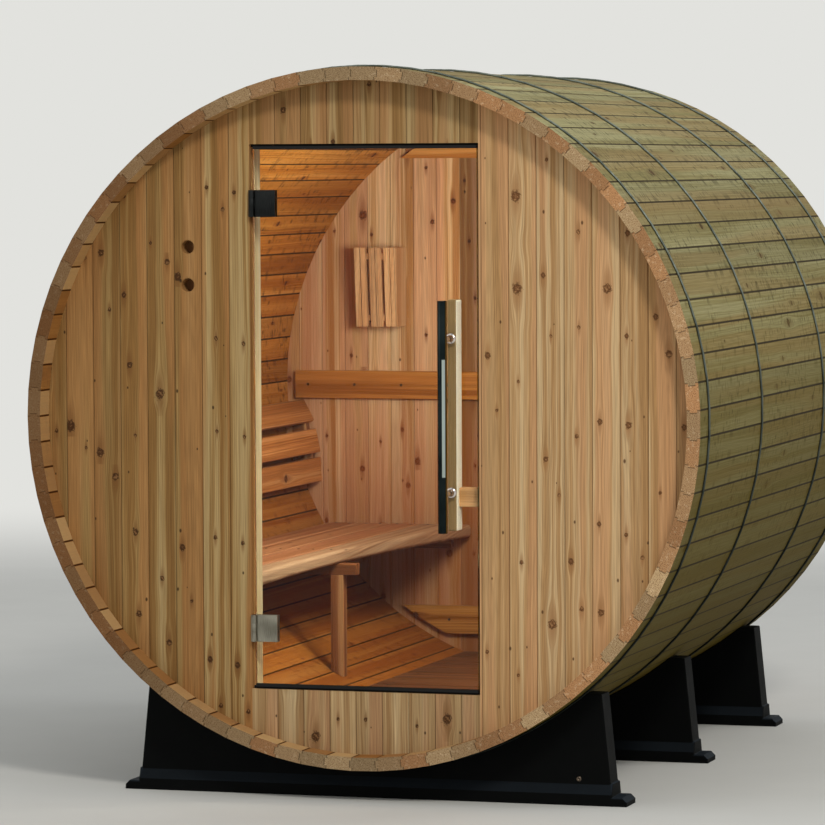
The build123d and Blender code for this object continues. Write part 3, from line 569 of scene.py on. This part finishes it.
# Walls: a joint, the width of a board, the finish outside and inside, the face, the side that is outside.
# Planks: the axes of the grain, across and depth, the first joint, the width of a board, the finish, the face;
# a board that stands alone gets a width greater than its own.
front, seatPitch = layout["frontFace"], layout["seatPitch"]
materials = {
    "staves": staveWood(),
    "wallLeft": wallBoards("wallWoodLeft", -0.370, 0.0764, frontLook, insideLook, front, -1.0),
    "wallRight": wallBoards("wallWoodRight", 0.392, 0.074, frontRight, insideLook, front, -1.0),
    "wallOver": wallBoards("wallWoodOver", -0.026, 0.072, frontOver, insideLook, front, -1.0),
    "wallUnder": wallBoards("wallWoodUnder", -0.026, 0.072, frontUnder, insideLook, front, -1.0),
    "wallBack": wallBoards("wallWoodBack", -0.032, 0.0734, backOutside, backLook, layout["backFace"], 1.0),
    "frameUpright": planks("frameWoodUpright", "zxy", -1.0, 0.7, frameLook, layout["frameFace"]),
    "frameAcross": planks("frameWoodAcross", "xzy", -1.0, 0.9, frameLook, layout["frameFace"]),
    "floor": planks("floorWood", "xyz", layout["floorStart"], layout["floorPitch"], floorLook, layout["floorTop"]),
    "bench": planks("benchWood", "yxz", layout["seatStart"] - 5 * seatPitch, seatPitch, benchLook, layout["seatTop"]),
    "nose": planks("benchNoseWood", "yxz", -0.445, 0.2, noseLook, layout["seatTop"]),
    "bearers": planks("bearerWood", "xyz", -1.5, 0.5, darkLook, 0.498),
    "leg": planks("legWood", "zxy", -1.0, 0.5, darkLook, -0.0165),
    "slats": planks("backrestWood", "yzx", 0.684, 0.0865, slatLook, -0.76),
    "brackets": planks("bracketWood", "zyx", -1.5, 0.5, darkLook, -0.78),
    "battens": planks("battenWood", "xzy", 0.0, 0.4, battenLook, layout["battenFace"]),
    "cover": planks("coverWood", "zxy", -1.0, 0.7, coverLook, layout["coverFace"]),
    "shade": planks("shadeWood", "zxy", -0.70, 0.018, shadeLook, 0.88),
    "handle": planks("handleWood", "zxy", 0.0, 0.5, handleLook, layout["handleFace"]),
    "arm": planks("armWood", "xzy", 0.0, 0.5, armLook, layout["handleFace"]),
    "steel": metal("handleSteel", metals["steel"]),
    "hingeDark": metal("hingeSteelDark", metals["hingeDark"]),
    "hingeLight": metal("hingeSteelLight", metals["hingeLight"]),
    "cable": metal("cableSteel", metals["cable"]),
    "screw": metal("screwSteel", metals["screw"]),
    "plastic": mouldedPlastic(),
    "rubber": sealRubber(),
    "glass": doorGlass(),
}
print("materials made:", len(materials))

dressing = {
    "front_wall_left": "wallLeft", "front_wall_right": "wallRight", "front_wall_over_door": "wallOver",
    "front_wall_under_door": "wallUnder", "back_wall": "wallBack",
    "door_jamb_left": "frameUpright", "door_jamb_right": "frameUpright", "door_head": "frameAcross",
    "door_sill": "frameAcross", "floor_boards": "floor", "bench_boards": "bench", "bench_front_board": "nose",
    "bench_bearers": "bearers", "bench_leg": "leg", "backrest_slats": "slats", "backrest_brackets": "brackets",
    "back_wall_battens": "battens", "lamp_shade": "shade", "inner_handle": "handle", "inner_handle_arm": "arm",
    "outer_handle": "steel", "upper_hinge_leaf": "hingeDark", "upper_hinge_plate": "hingeDark",
    "lower_hinge_leaf": "hingeLight", "lower_hinge_plate": "hingeLight",
    "cradle_front": "plastic", "cradle_middle": "plastic", "cradle_back": "plastic",
    "door_top_seal": "rubber", "door_bottom_seal": "rubber", "door_glass": "glass",
}
for nodeName, piece in nodes.items():
    look = "staves" if nodeName.startswith("staves_") else dressing.get(nodeName, "cable")
    piece.material_slots[0].material = materials[look]

softened = {
    "bench_boards": 0.003, "bench_front_board": 0.002, "backrest_slats": 0.003, "floor_boards": 0.002,
    "back_wall_battens": 0.003, "door_jamb_left": 0.002, "door_jamb_right": 0.002, "door_head": 0.002,
    "door_sill": 0.002, "inner_handle": 0.003, "inner_handle_arm": 0.002, "lamp_shade": 0.001,
    "cradle_front": 0.003, "cradle_middle": 0.003, "cradle_back": 0.003, "bench_bearers": 0.002,
    "bench_leg": 0.002, "backrest_brackets": 0.002, "upper_hinge_plate": 0.001, "lower_hinge_plate": 0.001,
}
softEdge = {"merge": 0.00002, "segments": 2, "angle": 35}
for nodeName, width in softened.items():
    weld = nodes[nodeName].modifiers.new("joined", "WELD")
    weld.merge_threshold = softEdge["merge"]
    bevel = nodes[nodeName].modifiers.new("softEdges", "BEVEL")
    bevel.width = width
    bevel.segments = softEdge["segments"]
    bevel.limit_method = "ANGLE"
    bevel.angle_limit = radians(softEdge["angle"])
print("edges softened:", len(softened))


def meshFromGrid(points, aroundRows, aroundColumns):
    # quads between neighbours of a rows x columns x 3 array, closed in the directions asked for
    rows, columns = points.shape[:2]
    number = np.arange(rows * columns).reshape(rows, columns)
    if aroundRows:
        number = np.vstack([number, number[:1]])
    if aroundColumns:
        number = np.hstack([number, number[:, :1]])
    quads = np.stack([number[:-1, :-1], number[1:, :-1], number[1:, 1:], number[:-1, 1:]], axis=-1)
    return points.reshape(-1, 3), quads.reshape(-1, 4)


def addPiece(name, points, faces, material, body, smooth=True):
    mesh = bpy.data.meshes.new(name)
    mesh.from_pydata(points.tolist(), [], faces.tolist() if isinstance(faces, np.ndarray) else faces)
    mesh.materials.append(material)
    mesh.polygons.foreach_set("use_smooth", [smooth] * len(mesh.polygons))
    mesh.update()
    made = bpy.data.objects.new(name, mesh)
    scene.collection.objects.link(made)
    if body:
        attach(made, body)
    return made


cable = {"places": {"cable_front": -0.981, "cable_second": -0.370, "cable_third": 0.423, "cable_back": 0.933},
         "middle": 0.9171, "half": 0.003, "lobes": 6, "lobeDepth": 0.2, "twists": 130, "perStave": 12, "around": 24}


def twistedCable(y):
    # The path is a ring of straight runs, one on each stave. Its section is a circle with six lobes,
    # turned a little further at each step, so the lobes wind round as strands do.
    steps = barrel["staves"] * cable["perStave"]
    turn = np.arange(steps)[:, None] * tau / steps
    section = np.arange(cable["around"])[None, :] * tau / cable["around"]
    fromMiddle = (np.mod(turn / staveStep + barrel["seam"], 1.0) - 0.5) * staveStep
    lobe = np.abs(np.cos(cable["lobes"] / 2 * (section - turn * cable["twists"] / cable["lobes"] * 2)))
    reach = cable["half"] * (1.0 - cable["lobeDepth"] + cable["lobeDepth"] * lobe)
    radius = (cable["middle"] + reach * np.cos(section)) / np.cos(fromMiddle)
    points = np.stack([radius * np.sin(turn), y + reach * np.sin(section),
                       barrel["axisHeight"] + radius * np.cos(turn)], axis=-1)
    return meshFromGrid(points, True, True)


for nodeName, y in cable["places"].items():
    points, faces = twistedCable(y)
    piece = addPiece(nodeName + "_strands", points, faces, materials["cable"], "barrel")
    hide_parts(nodeName)
print("cables wound:", len(cable["places"]))


def turned(profile, start, along, around):
    # A profile of distance along the axis and radius, carried round it; both ends close to a point
    along = np.array(along, float)
    first = np.cross(along, (0.0, 0.0, 1.0) if abs(along[2]) < 0.9 else (1.0, 0.0, 0.0))
    first = first / np.linalg.norm(first)
    second = np.cross(along, first)
    angle = np.arange(around)[None, :, None] * tau / around
    reach = np.array([p[0] for p in profile])[:, None, None]
    radius = np.array([p[1] for p in profile])[:, None, None]
    points = np.array(start) + reach * along + radius * (np.cos(angle) * first + np.sin(angle) * second)
    return meshFromGrid(points, False, True)


def joined(parts):
    # several point and face arrays as one
    offsets = np.cumsum([0] + [len(points) for points, faces in parts[:-1]])
    return (np.concatenate([points for points, faces in parts]),
            np.concatenate([faces + offset for (points, faces), offset in zip(parts, offsets)]))


def tidied(piece):
    # closes the poles and turns every face outward
    build = bmesh.new()
    build.from_mesh(piece.data)
    bmesh.ops.remove_doubles(build, verts=build.verts, dist=0.000001)
    bmesh.ops.recalc_face_normals(build, faces=build.faces)
    build.to_mesh(piece.data)
    build.free()
    piece.data.update()


outerBar = {"x": 0.236, "y": -1.079, "low": 0.710, "high": 1.310, "radius": 0.0125, "soft": 0.0015,
            "around": 40, "stands": (0.810, 1.210), "standRadius": 0.008, "standStart": 0.006, "standAround": 32,
            "rosette": 0.014, "rosetteThick": 0.005, "pane": -0.999}


def outerHandle():
    # The bar is a circle carried up a line, with softened ends; the standoffs run back to the pane
    o = outerBar
    long, r, soft = o["high"] - o["low"], o["radius"], o["soft"]
    bar = [(0, 0), (0, r - soft), (soft * 0.3, r - soft * 0.3), (soft, r), (long / 2, r),
           (long - soft, r), (long - soft * 0.3, r - soft * 0.3), (long, r - soft), (long, 0)]
    parts = [turned(bar, (o["x"], o["y"], o["low"]), (0, 0, 1), o["around"])]
    start, neck, disc = o["standStart"], o["standRadius"], o["rosette"]
    back = o["pane"] - o["y"]
    rim = back - o["rosetteThick"]
    stand = [(start, 0), (start, neck), (rim - 0.004, neck), (rim - 0.001, neck + 0.0012), (rim, disc - 0.002),
             (rim + 0.001, disc), (back - 0.001, disc), (back, disc - 0.0005), (back, 0)]
    for z in o["stands"]:
        parts.append(turned(stand, (o["x"], o["y"], z), (0, 1, 0), o["standAround"]))
    return joined(parts)


points, faces = outerHandle()
handle = addPiece("outer_handle_bar", points, faces, materials["steel"], "door")
tidied(handle)
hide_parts("outer_handle")


gasket = {"half": 0.312, "top": 1.715, "bottom": 0.285, "front": -0.986, "back": -0.974, "lip": 0.0075}


def doorGasket():
    # A rounded strip carried along three sides of the doorway, behind the edge of the pane,
    # from the hinge side along the top, down the latch side and back along the bottom
    g = gasket
    far = g["lip"]
    section = np.array([(0.0, 0.0), (far * 0.7, 0.0), (far, 0.3), (far, 0.7), (far * 0.7, 1.0), (0.0, 1.0)])
    inward = section[:, 0]
    depth = g["front"] + section[:, 1] * (g["back"] - g["front"])
    left, right = -g["half"], g["half"]
    stations = [(left, g["top"], 0, -1), (right, g["top"], -1, -1),
                (right, g["bottom"], -1, 1), (left, g["bottom"], 0, 1)]
    rows = [np.stack([x + inward * dx, depth, z + inward * dz], axis=-1) for x, z, dx, dz in stations]
    points, faces = meshFromGrid(np.array(rows), False, True)
    count = len(section)
    caps = [list(range(count)), list(range(3 * count, 4 * count))]
    return points, faces.tolist() + caps


points, faces = doorGasket()
strip = addPiece("doorway_gasket", points, faces, materials["rubber"], "barrel", False)
tidied(strip)
print("handle and gasket made")


screw = {
    "radius": 0.0042, "height": 0.0012, "around": 10, "bolt": (0.560, -0.942, 0.068), "boltScale": 1.8,
    "seatBoards": 4, "seatRows": (-0.945, 0.0025, 0.948), "seatAside": 0.022,
    "floorBoards": 13, "floorRows": (-0.27, 0.0, 0.27), "floorAside": 0.045,
    "battenRows": (0.2775, 0.9905, 1.7215), "battenFrom": -0.807, "battenTo": 0.84, "battenEvery": 0.1495,
    "battenReach": 0.82,     # no screw stands further than this from the axis
}


def screwHeads(places, outward, scale):
    # A low dome with a hollow in its middle, turned about each place's axis
    r, h = screw["radius"] * scale, screw["height"] * scale
    profile = [(0, 0), (0, r), (h * 0.55, r * 0.92), (h, r * 0.55), (h * 0.9, r * 0.4), (h * 0.25, r * 0.3),
               (h * 0.25, 0)]
    return joined([turned(profile, place, outward, screw["around"]) for place in places])


def boardMiddle(start, pitch, number):
    return start + pitch * (number + 0.5)


bothSides = (-1, 1)
seatScrews = [(boardMiddle(layout["seatStart"], -layout["seatPitch"], n) + side * screw["seatAside"], y,
               layout["seatTop"])
              for n in range(screw["seatBoards"]) for y in screw["seatRows"] for side in bothSides]
battenPlaces = np.arange(screw["battenFrom"], screw["battenTo"], screw["battenEvery"])
battenScrews = [(x, layout["battenFace"], z) for z in screw["battenRows"] for x in battenPlaces
                if x * x + (z - barrel["axisHeight"]) ** 2 < screw["battenReach"] ** 2]
floorScrews = [(x, boardMiddle(layout["floorStart"], layout["floorPitch"], n) + side * screw["floorAside"],
                layout["floorTop"])
               for n in range(screw["floorBoards"]) for x in screw["floorRows"] for side in bothSides]
screwSets = {
    "bench_screws": (seatScrews, (0, 0, 1), 1.0), "batten_screws": (battenScrews, (0, -1, 0), 1.0),
    "floor_screws": (floorScrews, (0, 0, 1), 1.0), "cradle_bolt": ([screw["bolt"]], (0, -1, 0), screw["boltScale"]),
}
for name, (places, outward, scale) in screwSets.items():
    points, faces = screwHeads(places, outward, scale)
    piece = addPiece(name, points, faces, materials["screw"], "barrel")
    tidied(piece)
print("screws set:", sum(len(v[0]) for v in screwSets.values()))

cover = {"left": -0.53, "right": -0.44, "low": 1.295, "high": 1.497, "thick": 0.010, "round": 0.012, "cornerSteps": 6}


def ventCover():
    # A board with rounded corners behind the two air holes: its outline is a rectangle drawn in by
    # quarter circles, carried back through its thickness
    c = cover
    corners = [(c["right"], c["high"]), (c["left"], c["high"]), (c["left"], c["low"]), (c["right"], c["low"])]
    outline = []
    for quarter, (x, z) in enumerate(corners):
        angle = np.linspace(quarter * pi / 2, (quarter + 1) * pi / 2, c["cornerSteps"])
        midX = x - c["round"] * (1 if x == c["right"] else -1)
        midZ = z - c["round"] * (1 if z == c["high"] else -1)
        outline.append(np.stack([midX + c["round"] * np.cos(angle), midZ + c["round"] * np.sin(angle)], axis=-1))
    outline = np.concatenate(outline)
    centre = outline.mean(axis=0)
    front = layout["coverFace"]
    back = front + c["thick"]
    rows = [(0.0, front), (1.0, front), (1.0, back), (0.0, back)]
    points = np.array([np.insert(centre + (outline - centre) * size, 1, y, axis=1) for size, y in rows])
    return meshFromGrid(points, False, True)


points, faces = ventCover()
piece = addPiece("vent_cover", points, faces, materials["cover"], "barrel", False)
tidied(piece)
print("vent cover made")


stageLook = {"floor": (214, 213, 208), "speck": (206, 205, 200), "backdrop": (226, 226, 222),
             "fadeFrom": 5.0, "fadeTo": 10.0, "half": 40.0, "steps": 9, "rough": 0.9, "paper": 3.0}
span = np.linspace(-stageLook["half"], stageLook["half"], stageLook["steps"])
across, back = np.meshgrid(span, span, indexing="ij")
flat = np.dstack([across, back, np.zeros_like(across)])
floorPoints, floorFaces = meshFromGrid(flat, False, False)
f = Finish("stageFloor")
far = f.rise((f.x * f.x + f.y * f.y).root(), stageLook["fadeFrom"], stageLook["fadeTo"])
paper = f.cloud(stageLook["paper"], 3.0)
ground = f.node("ShaderNodeBsdfPrincipled", {}, {
    "Base Color": f.blend(paper, stageLook["floor"], stageLook["speck"]), "Roughness": stageLook["rough"]})
sky = f.node("ShaderNodeEmission", {}, {"Color": linear(stageLook["backdrop"]), "Strength": 1.0})
f.node("ShaderNodeOutputMaterial", {}, {"Surface": f.node("ShaderNodeMixShader", {}, {0: far, 1: ground, 2: sky})})
addPiece("stageFloor", floorPoints, floorFaces, f.material, None, False)

# the sky lights the piece at its own strength, and shows as the plain backdrop where one sees it
worldLook = {"light": (0.95, 0.98, 1.0), "strength": 0.55}
world = bpy.data.worlds.new("studio")
scene.world = world
w = Shader(world)
rays = w.node("ShaderNodeLightPath")
lit = w.node("ShaderNodeBackground", {}, {"Color": (*worldLook["light"], 1.0), "Strength": worldLook["strength"]})
seen = w.node("ShaderNodeBackground", {}, {"Color": linear(stageLook["backdrop"])})
direct = rays.out("Is Camera Ray").atLeast(rays.out("Is Glossy Ray")).atLeast(rays.out("Is Transmission Ray"))
w.node("ShaderNodeOutputWorld", {}, {"Surface": w.node("ShaderNodeMixShader", {}, {0: direct, 1: lit, 2: seen})})

barrelMiddle = (0.0, 0.0, 0.9)
lamps = {
    "key": {"from": (5.0, -7.5, 7.5), "to": barrelMiddle, "size": 1.6, "power": 480.0,
            "tone": (1.0, 0.97, 0.92), "mirrored": True},
    "side": {"from": (7.5, 3.0, 7.0), "to": barrelMiddle, "size": 3.5, "power": 90.0,
             "tone": (0.97, 0.99, 1.0), "mirrored": True},
    "left": {"from": (-6.5, -5.5, 3.5), "to": barrelMiddle, "size": 4.0, "power": 42.0,
             "tone": (1.0, 1.0, 1.0), "mirrored": True},
    "room": {"from": (0.33, -0.45, 1.38), "to": (-0.45, 0.7, 0.85), "size": 0.45, "power": 18.0,
             "tone": (1.0, 0.98, 0.9), "mirrored": False},
}
for name, lamp in lamps.items():
    light = bpy.data.lights.new(name, "AREA")
    light.size = lamp["size"]
    light.energy = lamp["power"]
    light.color = lamp["tone"]
    holder = bpy.data.objects.new(name, light)
    holder.location = lamp["from"]
    aim = Vector(lamp["to"]) - Vector(lamp["from"])
    holder.rotation_euler = aim.to_track_quat("-Z", "Y").to_euler()
    holder.visible_camera = False
    holder.visible_transmission = False
    holder.visible_glossy = lamp["mirrored"]
    scene.collection.objects.link(holder)

view = {"place": (3.6323, -12.4227, 1.6575), "along": (-0.29342, 0.95448, -0.05363), "roll": -0.259,
        "lens": 201.14, "sensor": 36.0, "shift": (0.0047, 0.0007), "farthest": 200.0}
lens = bpy.data.cameras.new("view")
lens.lens = view["lens"]
lens.sensor_width = view["sensor"]
lens.shift_x, lens.shift_y = view["shift"]
lens.clip_end = view["farthest"]
camera = bpy.data.objects.new("view", lens)
camera.location = view["place"]
level = Vector(view["along"]).to_track_quat("-Z", "Y")
camera.rotation_euler = (level @ Quaternion((0, 0, 1), radians(view["roll"]))).to_euler()
scene.collection.objects.link(camera)
scene.camera = camera
print("stage, lamps and camera set")
